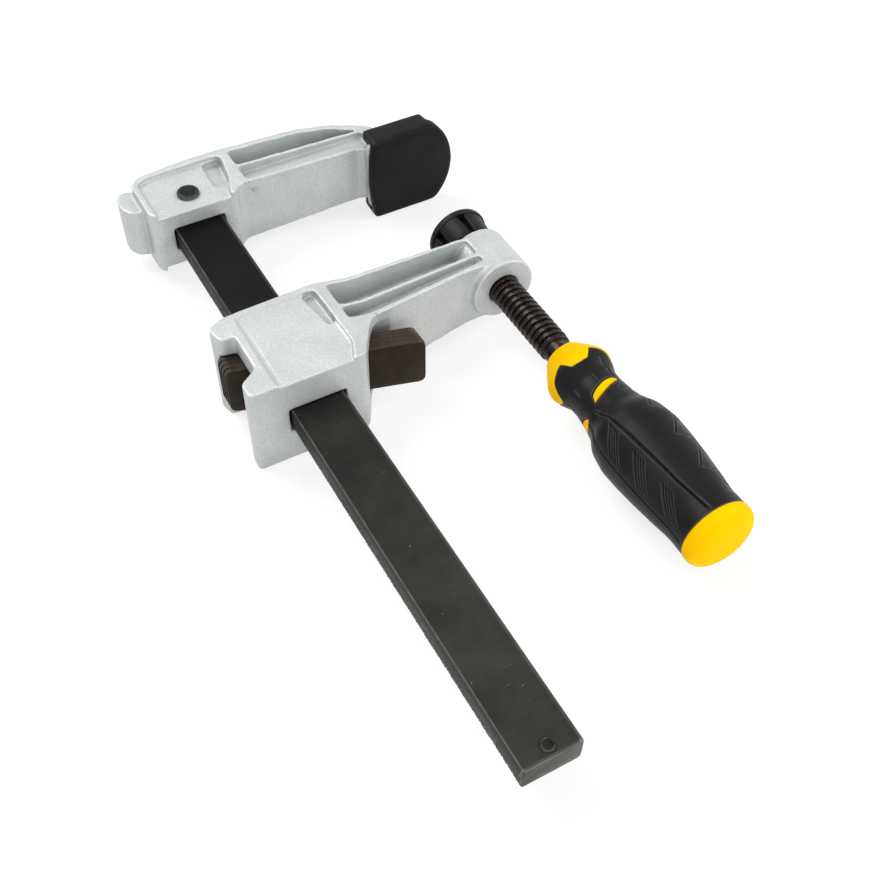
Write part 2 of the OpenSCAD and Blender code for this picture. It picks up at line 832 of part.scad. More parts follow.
module swivel_pad() {
    block_w = 2 * PI * hub_r / block_count * 0.55;
    block_len = hub_depth - swivel_rim_t;
    color("#17171a")
        on_spindle()
            union() {
                rotate_extrude()
                    polygon([
                        [0, 0], [swivel_r - swivel_rim_t / 4, 0], [swivel_r, swivel_rim_t / 4],
                        [swivel_r, swivel_rim_t * 0.8], [swivel_r - swivel_rim_t / 5, swivel_rim_t],
                        [hub_r, swivel_rim_t + hair], [hub_r, hub_depth], [socket_r, hub_depth],
                        [socket_r, socket_front], [0, socket_front]
                    ]);
                for (i = [0 : block_count - 1])
                    rotate([0, 0, 360 * (i + 0.5) / block_count])
                        translate([(socket_r + hub_r) / 2, -block_w / 2, swivel_rim_t / 2])
                            cube([hub_r + block_rise - (socket_r + hub_r) / 2, block_w, block_len]);
            }
}

// Points of a profile, as radius and distance from the swivel pad's face
function profile(shares, inset = 0) = [
    for (s = shares) [s[1] * handle_r - inset, handle_start + s[0] * handle_len]
];

// A profile turned round, so that its points run back towards the collar
function backwards(points) = [for (i = [len(points) - 1 : -1 : 0]) points[i]];

module handle_core() {
    under = profile(grip_shares, grip_t);
    tail = under[len(under) - 1];
    color("#f5b915")
        on_spindle()
            difference() {
                rotate_extrude()
                    polygon(concat(
                        [[spindle_r + joint_clear, handle_start]],
                        profile(collar_shares),
                        under,
                        [
                            [0, tail[1]], [0, tang_end], [tang_r, tang_end],
                            [tang_r, thread_end], [spindle_r + joint_clear, thread_end]
                        ]
                    ));
                translate([0, handle_r, handle_pin_h])
                    rotate([90, 0, 0])
                        cylinder(r = handle_pin_r, h = 2 * handle_r);
            }
}

module grip() {
    color("#18181b")
        on_spindle()
            rotate_extrude()
                polygon(concat(profile(grip_shares), backwards(profile(grip_shares, grip_t))));
}

module end_cap() {
    rim = profile(cap_shares);
    edge = rim[len(rim) - 1];
    color("#f5b915")
        on_spindle()
            rotate_extrude()
                polygon(concat(
                    [[0, rim[0][1]]],
                    rim,
                    [
                        [edge[0] * 0.93, edge[1] + cap_dome * 0.45],
                        [edge[0] * 0.7, edge[1] + cap_dome * 0.8],
                        [edge[0] * 0.35, edge[1] + cap_dome * 0.97],
                        [0, edge[1] + cap_dome]
                    ]
                ));
}

module handle_pin() {
    half = handle_pin_len_share * handle_r;
    color("#8b8f94")
        on_spindle()
            translate([0, half, handle_pin_h])
                rotate([90, 0, 0])
                    cylinder(r = handle_pin_r, h = 2 * half);
}

bar();
stop_pin();
fixed_jaw();
jaw_rivet();
fixed_pad();
sliding_jaw();
clutch_plate(0);  // clutch_plate_1
clutch_plate(1);  // clutch_plate_2
clutch_plate(2);  // clutch_plate_3
clutch_plate(3);  // clutch_plate_4
clutch_spring();
spindle();
ball_seat();
swivel_pad();
swivel_socket();
socket_ring();
handle_core();
grip();
end_cap();
handle_pin();
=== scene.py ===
import math

import bmesh
import bpy
import numpy as np
from mathutils import Euler, Matrix, Vector, noise


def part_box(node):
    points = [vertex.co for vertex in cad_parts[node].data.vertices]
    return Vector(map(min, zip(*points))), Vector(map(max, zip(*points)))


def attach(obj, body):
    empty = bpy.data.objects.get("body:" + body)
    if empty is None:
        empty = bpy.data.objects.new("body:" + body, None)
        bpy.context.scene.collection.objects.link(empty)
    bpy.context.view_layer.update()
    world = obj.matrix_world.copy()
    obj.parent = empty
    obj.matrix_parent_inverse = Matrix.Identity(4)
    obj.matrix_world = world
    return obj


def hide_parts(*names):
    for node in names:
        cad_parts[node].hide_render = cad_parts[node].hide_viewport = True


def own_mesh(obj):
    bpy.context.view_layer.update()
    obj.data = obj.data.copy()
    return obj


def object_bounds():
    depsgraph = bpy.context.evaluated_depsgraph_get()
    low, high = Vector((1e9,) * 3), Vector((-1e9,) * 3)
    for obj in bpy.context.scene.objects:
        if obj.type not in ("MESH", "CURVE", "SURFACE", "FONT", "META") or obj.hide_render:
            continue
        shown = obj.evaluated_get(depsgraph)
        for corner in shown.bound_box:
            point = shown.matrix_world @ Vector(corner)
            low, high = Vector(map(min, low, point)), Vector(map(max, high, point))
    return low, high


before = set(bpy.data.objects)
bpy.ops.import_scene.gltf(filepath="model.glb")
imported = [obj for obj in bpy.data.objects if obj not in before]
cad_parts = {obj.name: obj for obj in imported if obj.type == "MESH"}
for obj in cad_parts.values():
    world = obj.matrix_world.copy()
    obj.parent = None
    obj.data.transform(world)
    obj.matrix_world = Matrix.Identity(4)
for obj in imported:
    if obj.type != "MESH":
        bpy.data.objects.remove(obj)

CAD_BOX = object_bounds()
MM = 0.001
TURN = 2 * math.pi
FLOOR_Z = CAD_BOX[0].z
scene = bpy.context.scene

# Camera: place in metres, angles in degrees, and lens in millimetres on a 36 mm sensor
CAMERA_PLACE = (-0.28056, -0.54561, 0.45723)
CAMERA_AZIMUTH = -29.11
CAMERA_ELEVATION = 48.89
CAMERA_ROLL = 0.28
CAMERA_LENS = 50.04
SENSOR = 36.0

# Lamps: name, place, width of the disc and power
LAMPS = [
    ("key", (-1.2, 1.8, 3.0), 2.2, 82),
    ("side", (2.6, -1.2, 1.8), 1.8, 44),
    ("front", (-0.6, -3.2, 1.4), 1.8, 46),
]
# Strength of the surroundings as light on the object, and as they are seen
FILL_STRENGTH = 0.45
BACKDROP_STRENGTH = 1.0
# Floor: its size, its grey as it lights the object, and its grey and glow as it is seen
FLOOR_SIZE = 6.0
FLOOR_GREY = 0.8
SEEN_GREY = 0.35
SEEN_GLOW = 0.72

# Places along the spindle, as heights from the swivel pad's face towards the handle
SLIDE_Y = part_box("swivel_pad")[1].y
HANDLE_START = SLIDE_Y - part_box("handle_core")[1].y
HANDLE_END = SLIDE_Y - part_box("end_cap")[0].y
GRIP_END = SLIDE_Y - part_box("grip")[0].y
HANDLE_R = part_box("grip")[1].x
# The share of the handle's length where the soft grip ends, as the CAD draws it
GRIP_END_SHARE = 0.965
HANDLE_LEN = (GRIP_END - HANDLE_START) / GRIP_END_SHARE

# Pieces made of small cubes and smoothed: size of the cubes, rounds of smoothing, and how far
# the painted castings' faces wave in and out
CUBE = 0.6 * MM
CASTING_ROUNDS = 8
CASTING_WAVE = 0.16 * MM
PAD_ROUNDS = 110
# An angle between faces that no edge reaches, so that the whole piece is shaded smooth
ALL_SMOOTH = 180


def make_camera():
    """The camera that stands where the photo's did."""
    data = bpy.data.cameras.new("camera")
    data.lens = CAMERA_LENS
    data.sensor_width = SENSOR
    camera = bpy.data.objects.new("camera", data)
    tilt = math.radians(90 - CAMERA_ELEVATION)
    turn = math.radians(CAMERA_AZIMUTH)
    roll = Matrix.Rotation(math.radians(CAMERA_ROLL), 3, "Z")
    aim = Euler((tilt, 0, turn)).to_matrix() @ roll
    camera.matrix_world = Matrix.Translation(CAMERA_PLACE) @ aim.to_4x4()
    scene.collection.objects.link(camera)
    scene.camera = camera


# Materials

class Shader:
    """A material being wired: a Principled shader, and short calls for the nodes before it."""

    def __init__(self, name, color, roughness, metallic=0.0, specular=0.5):
        self.material = bpy.data.materials.new(name)
        self.material.use_nodes = True
        self.tree = self.material.node_tree
        self.bsdf = self.tree.nodes["Principled BSDF"]
        self.set("Base Color", (*color, 1))
        self.set("Roughness", roughness)
        self.set("Metallic", metallic)
        self.set("Specular IOR Level", specular)
        self.place = self.node("ShaderNodeTexCoord", "Object")

    def feed(self, socket, value):
        """Links an output to a socket, or sets the socket to a value."""
        if isinstance(value, bpy.types.NodeSocket):
            self.tree.links.new(value, socket)
        else:
            socket.default_value = value

    def set(self, name, value):
        """Feeds one of the shader's own sockets."""
        self.feed(self.bsdf.inputs[name], value)

    def node(self, kind, output, **inputs):
        """One of the outputs of a new node, whose inputs are fed by name."""
        made = self.tree.nodes.new(kind)
        for name, value in inputs.items():
            self.feed(made.inputs[name.replace("_", " ")], value)
        return made.outputs[output]

    def scaled(self, x, y, z):
        """The object's own coordinates, stretched along its axes."""
        return self.node("ShaderNodeMapping", 0, Vector=self.place, Scale=(x, y, z))

    def noise(self, scale, detail=3, rough=0.5, vector=None):
        """Noise about 0.5, of a scale per metre unless other coordinates are given."""
        return self.node(
            "ShaderNodeTexNoise", "Fac",
            Vector=vector or self.place, Scale=scale, Detail=detail, Roughness=rough,
        )

    def ramp(self, value, low, high, bottom=0.0, top=1.0):
        """Value from low to high, taken to bottom and top, and held there."""
        return self.node(
            "ShaderNodeMapRange", "Result",
            Value=value, From_Min=low, From_Max=high, To_Min=bottom, To_Max=top,
        )

    def math(self, operation, a, b):
        """Two values joined by an operation."""
        made = self.tree.nodes.new("ShaderNodeMath")
        made.operation = operation
        for socket, value in zip(made.inputs, (a, b)):
            self.feed(socket, value)
        return made.outputs[0]

    def times(self, a, b):
        return self.math("MULTIPLY", a, b)

    def mix(self, factor, a, b):
        """Colour a where the factor is 0, and b where it is 1."""
        made = self.tree.nodes.new("ShaderNodeMix")
        made.data_type = "RGBA"
        self.feed(made.inputs["Factor"], factor)
        for socket, color in zip((made.inputs[6], made.inputs[7]), (a, b)):
            self.feed(socket, (*color, 1) if isinstance(color, tuple) else color)
        return made.outputs[2]

    def roughen(self, value, smoothest, roughest):
        """Roughness that follows a noise."""
        self.set("Roughness", self.ramp(value, 0.3, 0.7, smoothest, roughest))

    def bump(self, height, distance):
        """Relief of a height from 0 to 1, as deep as a distance."""
        relief = self.node("ShaderNodeBump", "Normal", Height=height, Distance=distance, Strength=1.0)
        self.set("Normal", relief)

    def edges(self, low, high):
        """1 on raised edges, 0 on flat faces, which measure 0.5, and in hollows."""
        return self.ramp(self.node("ShaderNodeNewGeometry", "Pointiness"), low, high)

    def hollows(self, distance, low=0.3, high=0.95):
        """1 in deep corners, 0 in the open."""
        made = self.tree.nodes.new("ShaderNodeAmbientOcclusion")
        made.inputs["Distance"].default_value = distance
        made.samples = 8
        return self.ramp(made.outputs["AO"], low, high, 1.0, 0.0)


def cast_silver():
    """Silver paint over a fine cast grain, with a painted highlight on the rims and painted shade in
    the troughs and corners.
    """
    dull_paint = (0.53, 0.555, 0.545)
    light_paint = (0.61, 0.63, 0.62)
    pits = (0.40, 0.42, 0.415)
    flecks = (0.84, 0.86, 0.85)
    painted_trough_shade = (0.27, 0.33, 0.335)
    painted_corner_shade = (0.20, 0.22, 0.21)
    painted_rim_highlight = (0.88, 0.895, 0.89)
    dirt = (0.19, 0.18, 0.15)
    bare_iron = (0.10, 0.10, 0.09)
    s = Shader("cast_silver", (0.56, 0.58, 0.57), roughness=0.42, metallic=0.25, specular=0.4)
    grain = s.noise(1100, 2, 0.65)
    fleck = s.noise(2300, 1, 0.5)
    base = s.mix(s.ramp(s.noise(45, 3), 0.35, 0.65), dull_paint, light_paint)
    base = s.mix(s.ramp(grain, 0.35, 0.7, 0.0, 0.6), base, pits)
    base = s.mix(s.ramp(fleck, 0.6, 0.75, 0.0, 0.8), base, flecks)
    # painted shade: the deep troughs darkened to a bluish grey, as where shade falls in them
    base = s.mix(s.times(s.hollows(16 * MM), 0.42), base, painted_trough_shade)
    # painted shade: darker still in tight corners, where shade falls
    base = s.mix(s.times(s.hollows(2 * MM, 0.35, 0.9), 0.55), base, painted_corner_shade)
    # painted highlight: raised rims and edges made lighter, in noisy streaks
    rim = s.times(s.edges(0.513, 0.57), s.ramp(s.noise(420, 3, 0.6), 0.4, 0.6, 0.45, 1.0))
    base = s.mix(s.times(rim, 0.7), base, painted_rim_highlight)
    dirty = s.times(s.ramp(s.noise(30, 4, 0.65), 0.54, 0.70), s.hollows(5 * MM, 0.5, 1.0))
    base = s.mix(s.times(dirty, 0.55), base, dirt)
    chip = s.times(s.ramp(s.noise(330, 2, 0.6), 0.66, 0.68), s.edges(0.503, 0.52))
    patch = s.ramp(s.noise(40, 1), 0.56, 0.62)
    s.set("Base Color", s.mix(s.times(chip, patch), base, bare_iron))
    s.roughen(grain, 0.34, 0.5)
    s.bump(s.math("ADD", grain, s.times(s.noise(480, 3), 2.0)), 0.12 * MM)
    return s.material


def bar_black():
    """Black oxide on drawn steel, with painted light that makes it lighter towards the free end, small
    marks, and edges made lighter partly by wear and partly by a painted highlight.
    """
    deep_shaded_end = (0.0015, 0.0015, 0.0012)
    deep_lit_end = (0.024, 0.0245, 0.0215)
    pale_shaded_end = (0.004, 0.004, 0.0035)
    pale_lit_end = (0.041, 0.0415, 0.0365)
    scratched = (0.16, 0.16, 0.15)
    rusty = (0.05, 0.032, 0.02)
    painted_corner_shadow = (0.003, 0.003, 0.003)
    painted_edge_highlight = (0.26, 0.255, 0.225)
    s = Shader("bar_black", (0.02, 0.02, 0.019), roughness=0.42, specular=0.07)
    blotch = s.noise(38, 4, 0.6)
    # painted light: the oxide grows lighter towards the free end, where more light falls; the small
    # marks below also grow denser there, as wear
    painted_light_and_wear = s.ramp(s.node("ShaderNodeSeparateXYZ", "Y", Vector=s.place), -0.02, -0.30)
    deep = s.mix(painted_light_and_wear, deep_shaded_end, deep_lit_end)
    pale = s.mix(painted_light_and_wear, pale_shaded_end, pale_lit_end)
    base = s.mix(s.ramp(blotch, 0.35, 0.68), deep, pale)
    scuff = s.ramp(s.noise(1.0, 2, 0.5, s.scaled(160, 1500, 160)), 0.66, 0.72)
    scuff = s.times(scuff, s.ramp(s.noise(95, 2), 0.58, 0.68))
    dots = s.ramp(s.noise(470, 1, 0.5), 0.79, 0.80)
    marks = s.times(s.math("MAXIMUM", scuff, dots), s.times(painted_light_and_wear, 0.7))
    base = s.mix(marks, base, scratched)
    base = s.mix(s.times(s.ramp(s.noise(60, 2), 0.70, 0.76), 0.35), base, rusty)
    # painted shadow: darkened in tight corners, such as beside the stop pin
    base = s.mix(s.times(s.hollows(2.5 * MM, 0.4, 0.95), 0.8), base, painted_corner_shadow)
    # edges made lighter: partly wear on the oxide, partly a painted highlight
    edge_highlight_mask = s.times(s.edges(0.51, 0.56), s.ramp(s.noise(130, 3), 0.3, 0.7, 0.4, 1.0))
    s.set("Base Color", s.mix(edge_highlight_mask, base, painted_edge_highlight))
    s.roughen(blotch, 0.36, 0.55)
    s.bump(s.noise(1600, 2), 0.025 * MM)
    return s.material


def pin_black():
    """Black oxide on the rivet and the stop pin, with a painted grey highlight on the crown of their
    heads.
    """
    deep = (0.006, 0.006, 0.0055)
    pale = (0.022, 0.023, 0.021)
    painted_crown_highlight = (0.19, 0.19, 0.18)
    s = Shader("pin_black", (0.012, 0.012, 0.011), roughness=0.36, specular=0.1)
    blotch = s.noise(160, 3, 0.6)
    base = s.mix(s.ramp(blotch, 0.35, 0.68), deep, pale)
    # painted highlight: the rims of the heads made grey
    edge_highlight_mask = s.times(s.edges(0.51, 0.56), s.ramp(s.noise(300, 3), 0.35, 0.7, 0.2, 0.9))
    s.set("Base Color", s.mix(edge_highlight_mask, base, painted_crown_highlight))
    s.roughen(blotch, 0.3, 0.45)
    s.bump(s.noise(1600, 2), 0.02 * MM)
    return s.material


def plate_brown():
    """Brown-black oxide on stamped plates, with painted shade in the gaps between them and a painted
    highlight at their edges.
    """
    deep = (0.018, 0.0115, 0.0075)
    pale = (0.032, 0.021, 0.014)
    painted_gap_shade = (0.001, 0.001, 0.001)
    painted_edge_highlight = (0.17, 0.14, 0.115)
    s = Shader("plate_brown", (0.02, 0.015, 0.011), roughness=0.34, specular=0.09)
    blotch = s.noise(110, 4, 0.6)
    base = s.mix(s.ramp(blotch, 0.35, 0.7), deep, pale)
    # painted shade: dark in the narrow gaps between the plates
    base = s.mix(s.hollows(1.2 * MM, 0.45, 0.95), base, painted_gap_shade)
    # painted highlight: the plates' edges made lighter
    edge_highlight_mask = s.times(s.edges(0.52, 0.6), s.ramp(s.noise(200, 3), 0.3, 0.7, 0.35, 1.0))
    s.set("Base Color", s.mix(edge_highlight_mask, base, painted_edge_highlight))
    s.roughen(blotch, 0.27, 0.4)
    s.bump(s.noise(900, 2), 0.02 * MM)
    return s.material


def screw_brown():
    """Oiled brown oxide on the screw, with a painted highlight along the crests."""
    deep = (0.005, 0.0022, 0.0016)
    pale = (0.013, 0.0062, 0.0044)
    painted_crest_highlight = (0.20, 0.14, 0.12)
    s = Shader("screw_brown", (0.008, 0.004, 0.003), roughness=0.2, specular=0.22)
    blotch = s.noise(150, 3, 0.5)
    base = s.mix(s.ramp(blotch, 0.35, 0.7), deep, pale)
    # painted highlight: the thread's crests made lighter
    crest = s.times(s.edges(0.52, 0.57), s.ramp(s.noise(220, 3), 0.4, 0.65, 0.0, 0.6))
    s.set("Base Color", s.mix(crest, base, painted_crest_highlight))
    s.roughen(blotch, 0.16, 0.28)
    s.bump(s.noise(500, 2), 0.012 * MM)
    return s.material


def moulded_black():
    """Black moulded plastic with a fine spark-eroded grain, and a painted highlight on its edges."""
    deep = (0.0055, 0.0055, 0.0055)
    pale = (0.010, 0.010, 0.0098)
    painted_edge_highlight = (0.05, 0.05, 0.05)
    s = Shader("moulded_black", (0.008, 0.008, 0.008), roughness=0.38, specular=0.12)
    grain = s.noise(1900, 2, 0.6)
    base = s.mix(s.ramp(s.noise(60, 3), 0.35, 0.7), deep, pale)
    # painted highlight: the edges made lighter
    s.set("Base Color", s.mix(s.times(s.edges(0.51, 0.57), 0.6), base, painted_edge_highlight))
    s.roughen(grain, 0.32, 0.46)
    s.bump(grain, 0.03 * MM)
    return s.material


def soft_black():
    """Matt black soft overmould, with painted shade in its grooves and a painted highlight along their
    edges.
    """
    deep = (0.0065, 0.0065, 0.0065)
    pale = (0.012, 0.012, 0.0125)
    painted_groove_shade = (0.002, 0.002, 0.002)
    painted_edge_highlight = (0.075, 0.075, 0.08)
    s = Shader("soft_black", (0.009, 0.009, 0.0092), roughness=0.42, specular=0.12)
    grain = s.noise(2100, 2, 0.6)
    base = s.mix(s.ramp(s.noise(50, 3), 0.35, 0.7), deep, pale)
    # painted shade: darker in the grooves
    base = s.mix(s.times(s.hollows(2.5 * MM, 0.4, 0.95), 0.9), base, painted_groove_shade)
    # painted highlight: the grooves' edges made lighter
    s.set("Base Color", s.mix(s.times(s.edges(0.503, 0.53), 0.6), base, painted_edge_highlight))
    s.roughen(grain, 0.34, 0.46)
    s.bump(grain, 0.03 * MM)
    return s.material


def moulded_yellow():
    """Satin yellow plastic, with painted shade deepening its colour in its hollows."""
    warm = (1.0, 0.56, 0.0)
    pale = (1.0, 0.60, 0.0)
    painted_hollow_shade = (0.8, 0.36, 0.0)
    s = Shader("moulded_yellow", (1.0, 0.6, 0.0), roughness=0.5, specular=0.02)
    grain = s.noise(1900, 2, 0.6)
    base = s.mix(s.ramp(s.noise(70, 3), 0.35, 0.7), warm, pale)
    # painted shade: deeper orange in the hollows
    s.set("Base Color", s.mix(s.times(s.hollows(3 * MM), 0.5), base, painted_hollow_shade))
    s.roughen(grain, 0.42, 0.56)
    s.bump(grain, 0.02 * MM)
    return s.material


def plain_steel():
    """Turned bright steel with fine tool marks."""
    dull = (0.38, 0.39, 0.41)
    bright = (0.52, 0.53, 0.55)
    s = Shader("plain_steel", (0.45, 0.46, 0.48), roughness=0.32, metallic=0.9)
    marks = s.noise(1.0, 3, 0.6, s.scaled(300, 2500, 300))
    s.set("Base Color", s.mix(s.ramp(marks, 0.35, 0.7), dull, bright))
    s.roughen(marks, 0.26, 0.4)
    s.bump(marks, 0.01 * MM)
    return s.material


def plain_brass():
    """Machined brass, slightly dull."""
    dull = (0.52, 0.38, 0.16)
    bright = (0.66, 0.50, 0.24)
    s = Shader("plain_brass", (0.6, 0.45, 0.2), roughness=0.35, metallic=0.9)
    cloud = s.noise(300, 3)
    s.set("Base Color", s.mix(s.ramp(cloud, 0.35, 0.7), dull, bright))
    s.roughen(cloud, 0.3, 0.45)
    s.bump(s.noise(1500, 2), 0.01 * MM)
    return s.material


MATERIALS = {
    "casting": cast_silver(),
    "bar_steel": bar_black(),
    "black_steel": pin_black(),
    "plate_steel": plate_brown(),
    "screw_steel": screw_brown(),
    "black_plastic": moulded_black(),
    "soft_grip": soft_black(),
    "yellow_plastic": moulded_yellow(),
    "bright_steel": plain_steel(),
    "seat_brass": plain_brass(),
}


# Meshes

def smooth_step(x, low=0.0, high=1.0):
    """0 below the low value and 1 above the high one, eased between them."""
    x = min(1.0, max(0.0, (x - low) / (high - low)))
    return x * x * (3 - 2 * x)


def within(x, low, high, ease):
    """1 between two limits, easing to 0 just outside them."""
    return smooth_step(x, low - ease, low) * smooth_step(-x, -high - ease, -high)


def groove(distance, width):
    """1 in the middle of a groove, falling to 0 at its sides."""
    return math.exp(-(distance / width) ** 2)


def copied(node):
    """A new object with a copy of a CAD node's mesh."""
    piece = bpy.data.objects.new(node + "_finish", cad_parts[node].data.copy())
    scene.collection.objects.link(piece)
    return piece


def new_piece(name, vertices, faces, slot, body, replaced=(), sharp=40):
    """A mesh piece with even, outward normals, finished in a slot's material and riding on a body."""
    mesh = bpy.data.meshes.new(name)
    mesh.from_pydata([tuple(v) for v in vertices], [], [tuple(f) for f in faces])
    work = bmesh.new()
    work.from_mesh(mesh)
    bmesh.ops.remove_doubles(work, verts=work.verts, dist=0.002 * MM)
    bmesh.ops.recalc_face_normals(work, faces=work.faces)
    work.to_mesh(mesh)
    work.free()
    piece = bpy.data.objects.new(name, mesh)
    scene.collection.objects.link(piece)
    return dressed(piece, slot, body, replaced, sharp)


def dressed(piece, slot, body, replaced=(), sharp=40):
    """The piece in its slot's material, smooth but for edges sharper than an angle, on its body."""
    mesh = piece.data
    mesh.shade_smooth()
    mesh.set_sharp_from_angle(angle=math.radians(sharp))
    mesh.materials.clear()
    mesh.materials.append(MATERIALS[slot])
    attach(piece, body)
    if replaced:
        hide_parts(*replaced)
    return piece


def ring_faces(rings, sides, capped=True):
    """Faces of a tube of rings, with a flat cap at either end if it is capped."""
    faces = []
    for ring in range(rings - 1):
        here = ring * sides
        there = here + sides
        for side in range(sides):
            beside = (side + 1) % sides
            faces.append((here + side, here + beside, there + beside, there + side))
    if capped:
        faces.append(tuple(range(sides - 1, -1, -1)))
        faces.append(tuple(range((rings - 1) * sides, rings * sides)))
    return faces


def sheet_faces(rows, columns):
    """Faces of an open sheet, whose points run along each row in turn."""
    faces = []
    for row in range(rows - 1):
        here = row * columns
        there = here + columns
        for column in range(columns - 1):
            faces.append((here + column, here + column + 1, there + column + 1, there + column))
    return faces


def round_spindle(radius, angle, height):
    """Point at a radius and an angle from +Z towards +X, at a height from the swivel pad's face."""
    return (radius * math.sin(angle), SLIDE_Y - height, radius * math.cos(angle))


def turned(profile, sides):
    """Points of a profile of radius and height, turned about the spindle's axis."""
    return [round_spindle(r, TURN * k / sides, h) for r, h in profile for k in range(sides)]


def softened(node, rounds, faces, wave=0.0):
    """A copy of a CAD node with its edges rounded as in a casting, and its faces a little uneven."""
    broad = 7 * MM
    fine = 1.8 * MM
    piece = copied(node)
    remesh = piece.modifiers.new("remesh", "REMESH")
    remesh.mode = "VOXEL"
    remesh.voxel_size = CUBE
    smooth = piece.modifiers.new("smooth", "SMOOTH")
    smooth.factor = 0.5
    smooth.iterations = rounds
    deps = bpy.context.evaluated_depsgraph_get()
    dense = len(piece.evaluated_get(deps).data.polygons)
    thin = piece.modifiers.new("thin", "DECIMATE")
    thin.ratio = min(1.0, faces / (2 * dense))
    deps = bpy.context.evaluated_depsgraph_get()
    mesh = bpy.data.meshes.new_from_object(piece.evaluated_get(deps))
    piece.modifiers.clear()
    piece.data = mesh
    if wave:
        normals = [v.normal.copy() for v in mesh.vertices]
        for v, normal in zip(mesh.vertices, normals):
            offset = noise.noise(v.co / broad) * wave + noise.noise(v.co / fine) * wave / 3
            v.co += normal * (offset - 0.8 * wave)
    return piece


# Pieces

def make_castings():
    """Both jaws, painted castings with rounded edges and uneven faces."""
    for node, body, faces in (("fixed_jaw", "frame", 70000), ("sliding_jaw", "sliding_jaw", 80000)):
        piece = softened(node, CASTING_ROUNDS, faces, CASTING_WAVE)
        dressed(piece, "casting", body, [node], ALL_SMOOTH)


def make_fixed_pad():
    """The moulded cap over the fixed jaw's flange, generously rounded."""
    piece = softened("fixed_pad", PAD_ROUNDS, 30000)
    dressed(piece, "black_plastic", "frame", ["fixed_pad"], ALL_SMOOTH)


def bar_side(half, top, crown, corner):
    """One side of the bar's section from below to above, as reach from the middle and height.

    The first points of the flat face stand close to the corner and keep its lighter edge, partly wear
    and partly a painted highlight, narrow.
    """
    corner_steps = 3 if corner < 1 * MM else 6
    bow_steps = 12
    wall = top - corner
    under = []
    for k in range(corner_steps + 1):
        turn = math.pi / 2 * k / corner_steps
        under.append((half - corner * (1 - math.sin(turn)), -top + corner * (1 - math.cos(turn))))
    bowed = []
    for k in range(1, bow_steps):
        bow = crown * (1 - (2 * k / bow_steps - 1) ** 2)
        bowed.append((half + bow, -wall + 2 * wall * k / bow_steps))
    over = [(x, -z) for x, z in reversed(under)]
    flat_end = half - corner
    flat = [(x, top) for x in (flat_end - 0.3 * MM, flat_end - 0.8 * MM, 0.6 * half, 0.3 * half)]
    return [(x, -z) for x, z in reversed(flat)] + under + bowed + over + flat


def make_bar():
    """The bar, with bowed, raggedly serrated sides, rounder edges towards the spindle, and an
    eased free end."""
    low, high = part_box("bar")
    middle = (low.x + high.x) / 2
    top = high.z
    crown = 0.6 * MM
    half = (high.x - low.x) / 2 - crown
    inner_round = 2.4 * MM
    outer_round = 0.6 * MM
    pitch = 2.0 * MM
    steps_per_tooth = 4
    tooth = 0.7 * MM
    tooth_top = 0.15 * top
    tooth_ease = 0.8 * MM
    tooth_patch = 1.6 * MM
    plan_corner = 1.2 * MM
    edge = 0.6 * MM
    edge_slope = 0.6
    shallowest = 0.4
    side_start = half - 1.5 * MM
    side_end = half - 0.5 * MM

    right = bar_side(half, top, crown, inner_round)
    left = bar_side(half, top, crown, outer_round)
    ring = [(x, z, 1.0) for x, z in right] + [(-x, z, -1.0) for x, z in reversed(left)]
    step = pitch / steps_per_tooth
    count = int((high.y - low.y - 2 * edge) / step)
    places = [low.y, low.y + 0.3 * edge, low.y + edge]
    places += [low.y + edge + step * k for k in range(1, count)]
    places.append(high.y)

    vertices = []
    for y in places:
        from_end = y - low.y
        pull = edge_slope * (edge - from_end) if from_end < edge else 0.0
        limit = half + crown - plan_corner + from_end
        wave = 0.5 - 0.5 * math.cos(TURN * from_end / pitch)
        for x, z, side in ring:
            ragged = 0.5 + 0.5 * noise.noise(Vector((side, y, z)) / tooth_patch)
            cut = tooth * ragged * within(z, -top, tooth_top, tooth_ease)
            cut *= shallowest + (1 - shallowest) * wave
            on_side = smooth_step(abs(x), side_start, side_end)
            reach = min(abs(x) - on_side * cut, limit) - pull
            sink = math.copysign(pull, z) if abs(z) > top - 3 * edge else 0.0
            vertices.append((middle + side * max(reach, 0.0), y, z - sink))
    faces = ring_faces(len(places), len(ring))
    new_piece("bar_finish", vertices, faces, "bar_steel", "frame", ["bar"], 35)


# Crown of a button head: shares of its radius, and of its rise below the top
HEAD_SHAPE = [(1, 0.55), (0.985, 0.4), (0.93, 0.24), (0.84, 0.13), (0.7, 0.08), (0.4, 0.03), (0, 0)]


def headed_profile(shank, head, top, rise):
    """Upper half of a headed pin's profile, from the middle of its shank to its top."""
    foot = top - rise
    crown = [(radius * head, top - drop * rise) for radius, drop in HEAD_SHAPE]
    return [(shank, 0.0), (shank, foot), (head, foot)] + crown


def make_headed_pin(node, shank, rise):
    """A pin across the bar, with a button head at each end."""
    low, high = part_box(node)
    centre = (low + high) / 2
    head = (high.x - low.x) / 2
    top = (high.z - low.z) / 2
    sides = 64
    half = headed_profile(shank, head, top, rise)
    profile = [(r, -h) for r, h in reversed(half)] + half[1:]
    vertices = []
    for r, h in profile:
        for k in range(sides):
            angle = TURN * k / sides
            offset = Vector((r * math.cos(angle), r * math.sin(angle), h))
            vertices.append(centre + offset)
    faces = ring_faces(len(profile), sides)
    new_piece(node + "_finish", vertices, faces, "black_steel", "frame", [node], 45)


